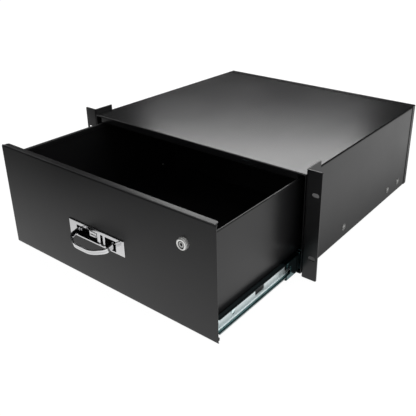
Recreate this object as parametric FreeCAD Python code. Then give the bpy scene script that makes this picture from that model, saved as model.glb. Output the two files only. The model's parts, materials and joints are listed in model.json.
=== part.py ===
"""Sliding rack drawer, 4U, for a 19-inch rack: sheet-steel casing with rack ears, a drawer
on two ball-bearing telescopic slides, a bail handle that works a slam latch, and a cam lock.

Frame: X right, Y towards the rear, Z up, millimetres. The origin is the centre of the four
ear slots, on the rear (mounting) face of the ears. The drawer is drawn pulled out by
drawer_pulled from its closed place. Every right-hand piece of a pair is the mirror of the
left-hand one in the plane x = 0.
"""
import FreeCAD, Part
import math
import os

Vector = FreeCAD.Vector

# ---- rack interface (EIA 19-inch, four units) -------------------------------------------
rack_units = 4
unit_height = 44.45
slot_offset = 12.7
ear_span = 482.6
ear_flange = 25.3
ear_stack_gap = 3.3
slot_edge = 8.75
slot_length = 11.0
slot_width = 7.0
ear_gauge = 2.0
ear_leg = 38.0
ear_bend = 1.0
ear_corner = 1.5
ear_rivet_r = 2.0
ear_rivet_head_r = 3.6
ear_rivet_head_h = 1.2
ear_rivet_count = 3
ear_rivet_back = 23.6
ear_rivet_lift = 12.0

# ---- casing -----------------------------------------------------------------------------
case_depth = 404.2
case_inset = 8.0
case_drop = 2.6
case_gauge = 1.2
case_top_bend = 1.9
case_floor_bend = 1.2
ledge_width = 14.0
lip_depth = 10.0
lip_bend = 0.8
lip_end_gap = 0.3
cover_edge_bevel = 0.5
cover_screw_count = 3
cover_screw_bite = 0.6
rear_flange = 12.0
rear_top_flange = 5.0
rear_groove = 2.2
rear_lap = 4.0
rear_gauge = 1.0
rear_inturn = 13.0
rear_screw_inset = 6.7
rear_screw_shares = (0.2, 0.8)

# ---- drawer -----------------------------------------------------------------------------
drawer_pulled = 177.0
drawer_rear_gap = 32.2
drawer_gauge = 1.0
drawer_bend = 0.8
drawer_floor_gap = 2.3
drawer_lip_gap = 1.6
hem_width = 3.0
hem_depth = 8.0
tray_tab = 12.0
tray_tab_screw = 7.0
front_screw_shares = (0.22, 0.8)
back_rivet_shares = (0.45, 0.8)
back_rim_gap = 1.0
front_side_gap = 4.95
front_trim = 4.7
front_rise = -3.6
front_gauge = 1.5
front_bend = 0.8
front_return = 10.0
front_return_inset = 3.0
front_return_corner = 3.0
front_gap = 1.8

# ---- ball-bearing slides ----------------------------------------------------------------
slide_thick = 12.7
slide_height = 36.4
slide_lift = 16.0
slide_gauge = 1.0
slide_bend = 0.8
race_bend = 1.2
race_slope = 10.0
race_depth = 7.4
lip_slope = 45.0
lip_run = 0.8
ball_r = 1.15
ball_play = 0.05
outer_rail_setback = 5.0
outer_rail_rear_gap = 1.0
middle_rail_closed = 52.5
middle_rail_shorter = 55.0
middle_rail_gap = 1.2
inner_rail_setback = 2.0
rail_edge_gap = 1.3
cage_gauge = 0.4
cage_reach = 2.7
outer_cage_closed = 102.25
outer_cage_length = 150.0
inner_cage_closed = 146.75
inner_cage_length = 108.0
balls_per_row = 3
ball_row_margin = 9.0
pocket_play = 0.12
window_length = 21.0
window_height = 13.0
window_corner = 2.0
window_first = 96.5
outer_window_first = 24.0
window_pitch = 74.0
window_count = 4
bumper_length = 4.0

# ---- handle, latch and lock -------------------------------------------------------------
handle_x = -5.4
handle_z = -8.7
plate_width = 113.0
plate_height = 24.5
plate_thick = 1.8
plate_bevel = 0.6
stud_nut_across = 7.0
plate_window_width = 81.0
plate_window_height = 17.0
plate_window_drop = 1.3
plate_window_corner = 1.0
stud_end = 1.0
cup_depth = 10.5
cup_gauge = 0.8
cup_flange = 3.0
cup_play = 0.3
lug_thick = 2.0
lug_reach = 7.5
pivot_rise = 0.7
pivot_back = 1.2
pin_r = 1.3
pin_play = 0.05
eye_r = 3.6
eye_width = 3.0
eye_gap = 0.4
eye_side_gap = 2.9
bail_reach = 30.5
bail_thick = 2.4
bail_band = 7.0
bail_shoulder = 0.57
bail_crown = 0.5
bail_shoulder_bend = 10.0
bail_crown_bend = 30.0
bail_droop = 13.0
spring_r = 2.1
spring_wire = 0.6
spring_coils = 3
spring_length = 3.0
latch_stroke = 3.5
latch_bar_width = 14.0
latch_bar_thick = 2.0
latch_clear = 0.5
latch_hook = 3.5
latch_tail = 15.0
guide_gauge = 1.2
guide_bend = 0.5
guide_height = 12.0
guide_foot = 8.0
guide_play = 0.3
guide_offsets = (22.0, 58.0)
latch_spring_r = 3.0
latch_spring_wire = 0.8
latch_spring_length = 16.0
latch_spring_coils = 4
pad_width = 14.5
pad_height = 10.2
pad_thick = 8.5
pad_offset = -11.6
pad_rise = -0.8
pad_round = 2.0
lobe_width = 12.0
lobe_height = 2.8
lobe_out = 1.1
lobe_round = 1.3
stem_r = 2.2
post_depth = 10.1
post_bevel = 1.2
post_sizes = ((1.9, 6.0), (12.5, 4.0))
lock_side_edge = 50.85
lock_top_edge = 40.8
lock_head_r = 8.4
lock_head_out = 5.5
lock_head_bevel = 1.2
lock_mouth = 1.2
lock_mouth_depth = 0.6
lock_cam_gap = 0.3
barrel_back = 3.0
lock_body_r = 6.0
lock_plug_r = 4.6
plug_play = 0.05
plug_setback = 0.8
keyhole_height = 5.0
keyhole_width = 1.1
keyhole_depth = 4.0
lock_nut_across = 17.0
lock_nut_thick = 3.0
cam_length = 32.0
cam_width = 12.0
cam_thick = 2.0
cam_round = 4.0
drive_side = 5.0
drive_play = 0.06

# ---- fasteners --------------------------------------------------------------------------
screw_r = 1.9
screw_head_r = 3.9
screw_head_h = 2.2
screw_head_round = 0.9
rail_head_h = 1.4
hole_play = 0.05
hole_end_play = 0.12
case_screw_front = 133.5
case_screw_rear = 48.1
case_screw_pair = 47.3
tray_screw_end = 36.0

# ---- how finely small forms are drawn ---------------------------------------------------
shank_sides = 6
head_sides = 10
pin_sides = 12
coil_sides = 10
eye_sides = 24
barrel_sides = 30
ball_sides = 6
ball_rings = 4
sharp_bend = 1.5
bend_step = 30.0

# ---- sizes that follow ------------------------------------------------------------------
slot_pitch_x = ear_span - 2 * slot_edge
slot_pitch_z = (rack_units - 2) * unit_height + slot_offset
ear_height = rack_units * unit_height - ear_stack_gap
front_height = ear_height - front_trim
case_width = ear_span - 2 * ear_flange
case_height = front_height - case_inset
case_half = case_width / 2
case_top = case_height / 2 - case_drop
case_bottom = -case_height / 2 - case_drop
case_front = -ear_gauge
case_rear = case_front + case_depth
case_inner = case_half - case_gauge
floor_top = case_bottom + case_gauge
ledge_top = case_top - case_gauge
lip_bottom = ledge_top - lip_depth
rear_inner = case_rear - rear_gauge
ear_out = ear_span / 2

front_width = 2 * (case_inner - front_side_gap)
drawer_half = case_inner - slide_thick
drawer_bottom = floor_top + drawer_floor_gap
slide_z = drawer_bottom + slide_lift
drawer_top = lip_bottom - drawer_lip_gap
closed_face = case_front - front_gap - front_return
face_y = closed_face - drawer_pulled
sheet_back = face_y + front_gauge
drawer_depth = case_depth - drawer_rear_gap
drawer_rear = sheet_back + drawer_depth

outer_rail_front = case_front + outer_rail_setback
outer_rail_length = case_rear - rear_flange - rear_groove - rear_lap - outer_rail_rear_gap - outer_rail_front
middle_rail_front = middle_rail_closed - drawer_pulled / 2
middle_rail_length = outer_rail_length - middle_rail_shorter
inner_rail_front = sheet_back + inner_rail_setback
inner_rail_length = drawer_depth - 2 * inner_rail_setback
outer_cage_start = outer_cage_closed - drawer_pulled / 4
inner_cage_start = inner_cage_closed - drawer_pulled * 3 / 4

race_cos = math.cos(math.radians(race_slope))
race_tan = math.tan(math.radians(race_slope))
race_vertex = (ball_r + ball_play) / race_cos
outer_vertex = slide_height / 2
outer_ball_z = outer_vertex - slide_gauge / race_cos - race_vertex
middle_top = outer_ball_z - ball_r - ball_play
inner_ball_z = middle_top - slide_gauge - ball_r - ball_play
inner_vertex = inner_ball_z - race_vertex
middle_web = slide_gauge + middle_rail_gap
cage_web = slide_gauge + (middle_rail_gap - cage_gauge) / 2
inner_tip = middle_web + slide_gauge + middle_rail_gap
inner_cage_web = inner_tip - (middle_rail_gap + cage_gauge) / 2

lock_x = front_width / 2 - lock_side_edge
lock_z = front_rise + front_height / 2 - lock_top_edge
cup_bottom_y = sheet_back + cup_depth
latch_back = case_front + case_gauge + latch_clear - drawer_pulled
latch_tip_z = lip_bottom + latch_hook
latch_x = handle_x + pad_offset
pivot_y = face_y + pivot_back
pivot_z = handle_z + pivot_rise
window_z = handle_z - plate_window_drop
eye_outer = plate_window_width / 2 - eye_side_gap
eye_inner = eye_outer - eye_width


# ---- shape helpers ----------------------------------------------------------------------
def box(x0, x1, y0, y1, z0, z1):
    """Block between two corners."""
    return Part.makeBox(x1 - x0, y1 - y0, z1 - z0, Vector(x0, y0, z0))


def on_plane(normal, level, a, b):
    """Point with in-plane coordinates a, b on the plane normal = level."""
    if normal == "x":
        return Vector(level, a, b)
    if normal == "y":
        return Vector(a, level, b)
    return Vector(a, b, level)


def direction(normal):
    """Unit vector along a named axis."""
    return on_plane(normal, 1.0, 0.0, 0.0)


def prism(points, normal, low, high):
    """Straight prism on a closed outline of straight edges."""
    corners = [on_plane(normal, low, a, b) for a, b in points]
    face = Part.Face(Part.makePolygon(corners + corners[:1]))
    return face.extrude(direction(normal) * (high - low))


def bent_strip(points, gauge, radii, normal, low, high):
    """Folded sheet: one face follows the points, and the metal lies to their left.

    radii are the inside bend radii, one for each inner point. Sharp bends are drawn in chords.
    """
    path = [FreeCAD.Base.Vector2d(a, b) for a, b in points]
    runs = [(path[i + 1] - path[i]) for i in range(len(path) - 1)]
    units = [FreeCAD.Base.Vector2d(r.x / r.length(), r.y / r.length()) for r in runs]
    near = [("point", path[0], None)]
    for i in range(1, len(path) - 1):
        before, after = units[i - 1], units[i]
        cross = before.x * after.y - before.y * after.x
        turn = math.atan2(cross, before.x * after.x + before.y * after.y)
        radius = radii[i - 1] + (gauge if turn > 0 else 0.0)
        back = radius * math.tan(abs(turn) / 2)
        chords = math.ceil(abs(turn) / math.radians(bend_step) - 0.01) if radii[i - 1] <= sharp_bend else 0
        near.append(("bend", path[i] - before * back, (before, after, turn, radius, chords)))
    near.append(("point", path[-1], None))

    def left_of(unit):
        return FreeCAD.Base.Vector2d(-unit.y, unit.x)

    def side(offset):
        edges = []
        start = path[0] + left_of(units[0]) * offset
        here = start
        for kind, place, bend in near[1:-1]:
            before, after, turn, radius, chords = bend
            sign = 1.0 if turn > 0 else -1.0
            centre = place + left_of(before) * (sign * radius)
            reach = radius - sign * offset
            entry = centre - left_of(before) * (sign * reach)
            leave = centre - left_of(after) * (sign * reach)
            spoke = entry - centre

            def along(part):
                angle = turn * part
                return centre + FreeCAD.Base.Vector2d(
                    spoke.x * math.cos(angle) - spoke.y * math.sin(angle),
                    spoke.x * math.sin(angle) + spoke.y * math.cos(angle))

            edges.append((here, None, entry))
            if chords == 0:
                edges.append((entry, along(0.5), leave))
            else:
                stops = [entry] + [along(i / chords) for i in range(1, chords)] + [leave]
                edges += [(first, None, last) for first, last in zip(stops, stops[1:])]
            here = leave
        end = path[-1] + left_of(units[-1]) * offset
        edges.append((here, None, end))
        return start, edges, end

    def solid_edge(first, middle, last):
        a = on_plane(normal, low, first.x, first.y)
        c = on_plane(normal, low, last.x, last.y)
        if middle is None:
            return Part.makeLine(a, c)
        return Part.Arc(a, on_plane(normal, low, middle.x, middle.y), c).toShape()

    start_a, edges_a, end_a = side(0.0)
    start_b, edges_b, end_b = side(gauge)
    outline = [solid_edge(*edge) for edge in edges_a]
    outline.append(solid_edge(end_a, None, end_b))
    outline += [solid_edge(last, middle, first) for first, middle, last in reversed(edges_b)]
    outline.append(solid_edge(start_b, None, start_a))
    face = Part.Face(Part.Wire(outline))
    return face.extrude(direction(normal) * (high - low))


def rod(centre, axis, radius, length):
    """Cylinder from a point along an axis."""
    return Part.makeCylinder(radius, length, centre, axis)


def slotted_hole(normal, low, high, a, b, length, width):
    """Round-ended slot, long along its first in-plane axis."""
    half = (length - width) / 2
    flat = direction(normal) * (high - low)
    ends = []
    for shift in (-half, half):
        ends.append(rod(on_plane(normal, low, a + shift, b), direction(normal), width / 2, high - low))
    corners = [(a - half, b - width / 2), (a + half, b - width / 2),
               (a + half, b + width / 2), (a - half, b + width / 2)]
    middle = Part.Face(Part.makePolygon([on_plane(normal, low, *c) for c in corners + corners[:1]]))
    return middle.extrude(flat).fuse(ends)


def rounded_window(normal, low, high, a0, a1, b0, b1, corner):
    """Rectangular block or hole, with each corner rounded in two chords."""
    short = corner * (1 - math.cos(math.radians(45)))
    points = []
    for a, b, sa, sb in ((a0, b0, 1, 1), (a1, b0, -1, 1), (a1, b1, -1, -1), (a0, b1, 1, -1)):
        turn = [(a, b + sb * corner), (a + sa * short, b + sb * short), (a + sa * corner, b)]
        points += turn if sa * sb > 0 else turn[::-1]
    return prism(points, normal, low, high)


def rounded(shape, radius, keep):
    """Fillet the edges that a test keeps."""
    return shape.makeFillet(radius, [e for e in shape.Edges if keep(e)])


def cut(shape, tools):
    """Shape less a list of tools, with the seams between split faces taken out."""
    return shape.cut(Part.makeCompound(tools)).removeSplitter()


def joined(shapes):
    """One solid from pieces that touch or overlap."""
    return shapes[0].fuse(shapes[1:]).removeSplitter()


def mirrored(shape):
    """The same piece on the other side of the plane x = 0."""
    return shape.mirror(Vector(0, 0, 0), Vector(1, 0, 0))


def both_sides(shapes):
    """Each piece and its mirror."""
    return list(shapes) + [mirrored(s) for s in shapes]


def turned_flats(points, centre, axis, sides):
    """Solid of revolution drawn with flat sides: points run from the axis back to the axis."""
    def ring(radius, height):
        steps = [2 * math.pi * i / sides for i in range(sides)]
        return [Vector(radius * math.cos(t), radius * math.sin(t), height) for t in steps]

    faces = []
    for (r0, h0), (r1, h1) in zip(points, points[1:]):
        low, high = ring(r0, h0), ring(r1, h1)
        for i in range(sides):
            j = (i + 1) % sides
            corners = [low[i], low[j], high[j], high[i]]
            if r0 == 0:
                corners = [low[i], high[j], high[i]]
            elif r1 == 0:
                corners = [low[i], low[j], high[i]]
            faces.append(Part.Face(Part.makePolygon(corners + corners[:1])))
    solid = Part.makeSolid(Part.makeShell(faces)).removeSplitter()
    solid.Placement = FreeCAD.Placement(centre, FreeCAD.Rotation(Vector(0, 0, 1), axis))
    return solid


def ball(centre, radius):
    """Bearing ball with flats."""
    steps = [math.pi * (i / ball_rings - 0.5) for i in range(ball_rings + 1)]
    points = [(radius * math.cos(t), radius * math.sin(t)) for t in steps]
    points = [(0.0, -radius)] + points[1:-1] + [(0.0, radius)]
    return turned_flats(points, centre, Vector(0, 0, 1), ball_sides)


def shank(place, axis, radius, length):
    """Plain fastener shank, drawn with flats, that runs back from a place."""
    return turned_flats([(0.0, -length), (radius, -length), (radius, 0.0), (0.0, 0.0)], place, axis, shank_sides)


def bore(place, axis, radius, length, sides):
    """Hole with flats that stand clear of a round piece of this radius, both ways from the place."""
    reach = radius / math.cos(math.pi / sides)
    return turned_flats([(0.0, -length), (reach, -length), (reach, length), (0.0, length)], place, axis, sides)


def pan_screw(place, axis, length, head_h=screw_head_h):
    """Pan-head screw whose head sits on the place and whose shank runs back from it."""
    head = [(0.0, 0.0), (screw_head_r, 0.0), (screw_head_r, head_h - screw_head_round),
            (screw_head_r - screw_head_round, head_h), (0.0, head_h)]
    return joined([turned_flats(head, place, axis, head_sides), shank(place, axis, screw_r, length)])


def hex_screw(place, axis, length):
    """Hexagon-head screw whose head sits on the place."""
    head = [(0.0, 0.0), (screw_head_r, 0.0), (screw_head_r, screw_head_h), (0.0, screw_head_h)]
    return joined([turned_flats(head, place, axis, 6), shank(place, axis, screw_r, length)])


def screw_hole(place, axis, length, radius=screw_r + hole_play):
    """Hole for a shank, with the shank's flats, reaching both ways from the place."""
    return shank(place + axis * length, axis, radius, 2 * length)


def coil(place, axis, radius, wire, coils, length):
    """Coil spring drawn as its ridged sleeve, hollow inside."""
    pitch = length / coils
    points = [(radius - wire, 0.0)]
    for i in range(coils):
        points.append((radius - wire / 2, i * pitch))
        points.append((radius, (i + 0.5) * pitch))
    points.append((radius - wire / 2, length))
    points.append((radius - wire, length))
    return turned_flats(points + points[:1], place, axis, coil_sides)


def save(name, shape):
    """Write one node."""
    solids = shape if isinstance(shape, list) else [shape]
    result = solids[0] if len(solids) == 1 else Part.makeCompound(solids)
    result.exportStep(os.path.join("parts", name + ".step"))


X = Vector(1, 0, 0)
Y = Vector(0, 1, 0)
Z = Vector(0, 0, 1)
ear_rivet_y = case_front + ear_rivet_back
ear_rivet_heights = [slot_pitch_z * (i / (ear_rivet_count - 1) - 0.5) + ear_rivet_lift
                     for i in range(ear_rivet_count)]


# ---- casing -----------------------------------------------------------------------------
def case_section(outer, top, bottom, front, rear):
    """Floor, two sides and two inturned ledges, folded from one sheet."""
    ledge = outer - ledge_width
    points = [(-ledge, top), (-outer, top), (-outer, bottom), (outer, bottom), (outer, top), (ledge, top)]
    radii = [case_top_bend, case_floor_bend, case_floor_bend, case_top_bend]
    return bent_strip(points, case_gauge, radii, "y", front, rear)


def casing_body():
    """Main shell with a joggled rear edge that the rear panel laps."""
    step = case_rear - rear_flange - rear_groove
    shell = case_section(case_half, ledge_top, case_bottom, case_front, step)
    liner_top = ledge_top - case_gauge
    liner = case_section(case_inner, liner_top, floor_top, step - rear_lap, rear_inner)
    opening = box(-case_inner + rear_inturn, case_inner - rear_inturn, rear_inner - case_gauge, rear_inner,
                  floor_top + rear_inturn, liner_top - rear_inturn)
    inturn = cut(box(-case_inner + case_gauge, case_inner - case_gauge, rear_inner - case_gauge, rear_inner,
                     floor_top + case_gauge, liner_top - case_gauge), [opening])
    holes = [screw_hole(Vector(-case_half, ear_rivet_y, z), X, 2 * case_gauge, ear_rivet_r + hole_play)
             for z in ear_rivet_heights]
    holes += [screw_hole(place, -X, case_gauge + 1) for place in case_screw_points()]
    holes += [screw_hole(place, -Z, case_gauge + 1) for place in cover_screw_points()]
    holes = both_sides(holes)
    holes += [screw_hole(place, Y, 3 * case_gauge) for place in rear_screw_points()]
    return cut(joined([shell, liner, inturn]), holes)


def case_screw_points():
    """Seats of the screws that hold the left outer rail, on the casing's outside."""
    last = case_rear - case_screw_rear
    return [Vector(-case_half, y, slide_z) for y in (case_front + case_screw_front, last - case_screw_pair, last)]


def cover_screw_points():
    """Seats of the cover's screws, under the left ledge."""
    span = case_depth - rear_flange - rear_groove - ear_leg
    return [Vector(-case_half + ledge_width / 2, case_front + ear_leg / 2 + span * (i + 0.5) / cover_screw_count,
                   ledge_top - case_gauge) for i in range(cover_screw_count)]


def rear_screw_points():
    """Seats of the rear panel's screws, on its rear face."""
    side = case_inner - rear_screw_inset
    return [Vector(x, case_rear, case_bottom + case_height * share)
            for x in (-side, side) for share in rear_screw_shares]


def top_cover():
    """Flat lid with a stiff lip turned down behind the drawer's front."""
    rear = case_rear - rear_top_flange - rear_groove
    points = [(rear, case_top), (case_front, case_top), (case_front, lip_bottom)]
    lid = bent_strip(points, case_gauge, [lip_bend], "x", -case_half, case_half)
    rims = [e for e in lid.Edges if e.Length > case_depth / 2 and e.CenterOfMass.z > case_top - 0.1
            and abs(abs(e.CenterOfMass.x) - case_half) < 0.01]
    lid = lid.makeChamfer(cover_edge_bevel, rims)
    corners = [box(-case_half - 1, -case_half + ledge_width + lip_end_gap, case_front - 1,
                   case_front + 3 * case_gauge, lip_bottom - 1, ledge_top)]
    depth = cover_screw_bite + hole_end_play
    holes = [screw_hole(place + Z * case_gauge, Z, depth) for place in cover_screw_points()]
    return cut(lid, both_sides(corners + holes))


def rear_panel():
    """Shallow pan: its rims lap the joggled rear edge of the casing."""
    pan = box(-case_half, case_half, case_rear - rear_flange, case_rear, case_bottom, case_top)
    pan = rounded(pan, case_floor_bend + rear_gauge, lambda e: abs(e.CenterOfMass.y - case_rear) < 0.01)
    hollow = box(-case_inner, case_inner, case_rear - rear_flange - 1, rear_inner, floor_top, ledge_top)
    notch = box(-case_half - 1, case_half + 1, case_rear - rear_flange - 1, case_rear - rear_top_flange,
                ledge_top, case_top + 1)
    holes = [screw_hole(place, Y, 2 * rear_gauge) for place in rear_screw_points()]
    return cut(pan, [hollow, notch] + holes)


def ear():
    """Left rack ear: an angle with two open slots for the rack's bolts."""
    top = ear_height / 2
    points = [(-ear_out, case_front), (-case_half, case_front), (-case_half, case_front + ear_leg)]
    angle = bent_strip(points, ear_gauge, [ear_bend], "z", -top, top)
    angle = rounded(angle, ear_corner, lambda e: abs(abs(e.CenterOfMass.z) - top) < 0.01
                    and abs(e.tangentAt(e.FirstParameter).y) > 0.9 and e.CenterOfMass.x < -ear_out + 0.1)
    holes = [slotted_hole("y", case_front - 1, 1, -slot_pitch_x / 2, z, slot_length, slot_width)
             for z in (-slot_pitch_z / 2, slot_pitch_z / 2)]
    holes += [screw_hole(Vector(-case_half, ear_rivet_y, z), X, 2 * ear_gauge, ear_rivet_r + hole_play)
              for z in ear_rivet_heights]
    return cut(angle, holes)


def ear_rivets():
    """Rivets flush on the ear, with their formed heads inside the casing."""
    grip = ear_gauge + case_gauge
    head = [(0.0, 0.0), (ear_rivet_head_r, 0.0), (ear_rivet_r, ear_rivet_head_h), (0.0, ear_rivet_head_h)]
    seats = [Vector(-case_inner, ear_rivet_y, z) for z in ear_rivet_heights]
    return [joined([turned_flats(head, seat, X, head_sides), shank(seat, X, ear_rivet_r, grip)])
            for seat in seats]


# ---- slides -----------------------------------------------------------------------------
def rail_x(depth):
    """Place across the left slide, from the casing wall towards the drawer."""
    return -case_inner + depth


def rail_points(upper):
    """Full rail outline from the points of its upper half, given as (depth, height)."""
    lower = [(depth, -height) for depth, height in reversed(upper)]
    return [(rail_x(depth), slide_z + height) for depth, height in upper + lower]


def race_height(vertex, depth, sign):
    """Height of a sloped race at a depth; sign is -1 where it falls away from the vertex."""
    return vertex + sign * abs(depth - race_depth) * race_tan


def rail_windows(start, count, half_height):
    """Punched windows along a rail's web."""
    low = rail_x(-1)
    high = rail_x(slide_thick + 1)
    return [rounded_window("x", low, high, start + i * window_pitch, start + i * window_pitch + window_length,
                           slide_z - half_height, slide_z + half_height, window_corner)
            for i in range(count)]


def outer_rail():
    """Fixed member: its flanges form the outside races, with turned-in lips."""
    tip = slide_thick - rail_edge_gap
    lip_fall = lip_run * math.tan(math.radians(lip_slope))
    lip_root = race_height(outer_vertex, tip - lip_run, -1)
    upper = [(tip, lip_root - lip_fall), (tip - lip_run, lip_root), (race_depth, outer_vertex),
             (0.0, race_height(outer_vertex, 0.0, -1))]
    half = [slide_bend, race_bend, slide_bend]
    front = outer_rail_front
    rail = bent_strip(rail_points(upper), slide_gauge, half + half[::-1], "y",
                      front, front + outer_rail_length)
    windows = rail_windows(front + outer_window_first, window_count, window_height / 2)
    holes = [screw_hole(place + X * case_gauge, -X, 2 * slide_gauge) for place in case_screw_points()]
    return cut(rail, windows + holes)


def middle_rail():
    """Travelling member, a channel between the two ball rows."""
    upper = [(slide_thick - rail_edge_gap - lip_run / 2, middle_top), (middle_web, middle_top)]
    front = middle_rail_front
    rail = bent_strip(rail_points(upper), slide_gauge, [slide_bend, slide_bend], "y",
                      front, front + middle_rail_length)
    notch = rounded_window("x", rail_x(middle_web - 1), rail_x(middle_web + slide_gauge + 1),
                           front - window_length, front + window_length / 2,
                           slide_z - window_height / 2, slide_z + window_height / 2, window_corner)
    windows = rail_windows(front + window_first, window_count - 1, window_height / 2)
    return cut(rail, [notch] + windows)


def inner_rail():
    """Drawer member: its web lies on the drawer's side and its flanges carry the inside races."""
    upper = [(slide_thick, race_height(inner_vertex, slide_thick, 1)), (race_depth, inner_vertex),
             (inner_tip, race_height(inner_vertex, inner_tip, 1))]
    lower = [(depth, -height) for depth, height in upper]
    points = [(rail_x(depth), slide_z + height) for depth, height in upper[::-1] + lower]
    front = inner_rail_front
    radii = [race_bend, slide_bend, slide_bend, race_bend]
    rail = bent_strip(points[::-1], slide_gauge, radii, "y", front, front + inner_rail_length)
    windows = rail_windows(front + window_first - window_length / 2, window_count, window_height / 2)
    holes = [screw_hole(place, -X, 2 * slide_gauge) for place in tray_screw_points()]
    return cut(rail, windows + holes)


def tray_screw_points():
    """Seats of the screws that hold the left inner rail to the drawer's side."""
    first = inner_rail_front + tray_screw_end
    last = inner_rail_front + inner_rail_length - tray_screw_end
    return [Vector(rail_x(slide_thick - slide_gauge), y, slide_z) for y in (first, (first + last) / 2, last)]


def ball_cage(ball_z, web, start, length):
    """Strip bent round a rail, with a pocket for each ball."""
    edge = race_depth + cage_reach
    top = ball_z + cage_gauge / 2
    upper = [(edge, top), (web, top)]
    cage = bent_strip(rail_points(upper), cage_gauge, [slide_bend / 2, slide_bend / 2], "y",
                      start, start + length)
    pockets = [bore(Vector(rail_x(race_depth), y, slide_z), Z, ball_r + pocket_play, ball_z + 1, ball_sides)
               for y in ball_places(start, length)]
    return cut(cage, pockets)


def ball_places(start, length):
    """Places of the balls along a cage."""
    run = length - 2 * ball_row_margin
    return [start + ball_row_margin + run * i / (balls_per_row - 1) for i in range(balls_per_row)]


def ball_rows(ball_z, start, length):
    """Upper and lower rows of balls."""
    return [ball(Vector(rail_x(race_depth), y, slide_z + side * ball_z), ball_r)
            for side in (-1, 1) for y in ball_places(start, length)]


def rail_bumper():
    """Rubber stop pressed into the rear of the left outer rail."""
    rear = outer_rail_front + outer_rail_length
    half = middle_top - slide_gauge
    return rounded_window("y", rear - bumper_length, rear, rail_x(slide_gauge), rail_x(race_depth + cage_reach),
                          slide_z - half, slide_z + half, window_corner)


# ---- drawer -----------------------------------------------------------------------------
def drawer_tray():
    """Floor and two sides folded from one sheet, with hemmed top edges and front tabs."""
    inner = drawer_half - hem_width
    points = [(-inner, drawer_top - hem_depth), (-inner, drawer_top), (-drawer_half, drawer_top),
              (-drawer_half, drawer_bottom), (drawer_half, drawer_bottom), (drawer_half, drawer_top),
              (inner, drawer_top), (inner, drawer_top - hem_depth)]
    radii = [drawer_bend / 2] * 2 + [drawer_bend] * 2 + [drawer_bend / 2] * 2
    front = sheet_back
    tray = bent_strip(points, drawer_gauge, radii, "y", front, drawer_rear)
    tab = box(-drawer_half, -drawer_half + tray_tab, front, front + drawer_gauge,
              drawer_bottom + drawer_gauge + tray_tab, drawer_top - hem_depth - drawer_gauge)
    floor_tab = box(-drawer_half + tray_tab, drawer_half - tray_tab, front, front + drawer_gauge,
                    drawer_bottom, drawer_bottom + tray_tab)
    holes = [screw_hole(place, -X, 2 * slide_gauge) for place in tray_screw_points()]
    holes += [screw_hole(place, Y, 2 * drawer_gauge) for place in front_screw_points()]
    holes += [screw_hole(place, -X, 2 * drawer_gauge) for place in back_rivet_points()]
    return cut(joined([tray, floor_tab] + both_sides([tab])), both_sides(holes))


def front_screw_points():
    """Seats of the screws through the left front tab."""
    return [Vector(-drawer_half + tray_tab_screw, sheet_back + drawer_gauge,
                   drawer_bottom + (drawer_top - drawer_bottom) * share) for share in front_screw_shares]


def back_rivet_points():
    """Seats of the rivets that hold the drawer's back, on the left side's outside."""
    return [Vector(-drawer_half, drawer_rear - tray_tab / 2 - drawer_gauge,
                   drawer_bottom + (drawer_top - drawer_bottom) * share) for share in back_rivet_shares]


def drawer_back():
    """Rear wall, a pan with flanges turned forward against the sides."""
    half = drawer_half - drawer_gauge
    bottom = drawer_bottom + drawer_gauge
    points = [(half, drawer_rear - drawer_gauge - tray_tab), (half, drawer_rear - drawer_gauge),
              (-half, drawer_rear - drawer_gauge), (-half, drawer_rear - drawer_gauge - tray_tab)]
    wall = bent_strip(points, drawer_gauge, [drawer_bend, drawer_bend], "z",
                      bottom + drawer_bend, drawer_top - hem_depth - drawer_gauge)
    rim_half = drawer_half - hem_width - back_rim_gap
    rim = box(-rim_half, rim_half, drawer_rear - 2 * drawer_gauge,
              drawer_rear - drawer_gauge, drawer_top - hem_depth - 2 * drawer_gauge, drawer_top)
    holes = [screw_hole(place, -X, 3 * drawer_gauge) for place in back_rivet_points()]
    return cut(joined([wall, rim]), both_sides(holes))


def drawer_front():
    """Front panel with a return flange along its top and bottom, pierced for handle and lock."""
    half = front_width / 2
    top = front_rise + front_height / 2
    bottom = front_rise - front_height / 2
    back = face_y + front_return
    points = [(back, bottom), (face_y, bottom), (face_y, top), (back, top)]
    panel = bent_strip(points[::-1], front_gauge, [front_bend, front_bend], "x", -half, half)
    trims = []
    for low, high in ((bottom - 1, bottom + 2 * front_gauge), (top - 2 * front_gauge, top + 1)):
        corner = [(-half - 1, face_y + front_gauge + front_bend), (-half + front_return_inset,
                  face_y + front_gauge + front_bend),
                  (-half + front_return_inset, back - front_return_corner),
                  (-half + front_return_inset + front_return_corner, back + 1), (-half - 1, back + 1)]
        trims.append(prism(corner, "z", low, high))
    trims = both_sides(trims)
    x0, x1, z0, z1 = cup_outline()
    trims.append(box(x0 - cup_play, x1 + cup_play, face_y - 1, sheet_back + 1, z0 - cup_play, z1 + cup_play))
    trims.append(bore(lock_point(0), Y, lock_body_r + hole_play, 2 * front_gauge, barrel_sides))
    trims += [screw_hole(place, Y, 2 * front_gauge) for place in plate_stud_points()]
    return cut(panel, trims)


# ---- handle and latch -------------------------------------------------------------------
def cup_outline():
    """Outside of the handle's cup, as low and high X, low and high Z."""
    half_w = plate_window_width / 2 + lug_thick + cup_play + cup_gauge
    half_h = plate_window_height / 2 + cup_gauge
    return handle_x - half_w, handle_x + half_w, window_z - half_h, window_z + half_h


def plate_stud_points():
    """Axes of the two studs behind the handle plate, on the panel's front face."""
    inner = cup_outline()[1] - handle_x + cup_flange
    shift = max(inner + stud_nut_across / math.sqrt(3) + cup_play, (plate_width / 2 + inner) / 2)
    return [Vector(handle_x + side * shift, face_y, handle_z) for side in (-1, 1)]


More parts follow.
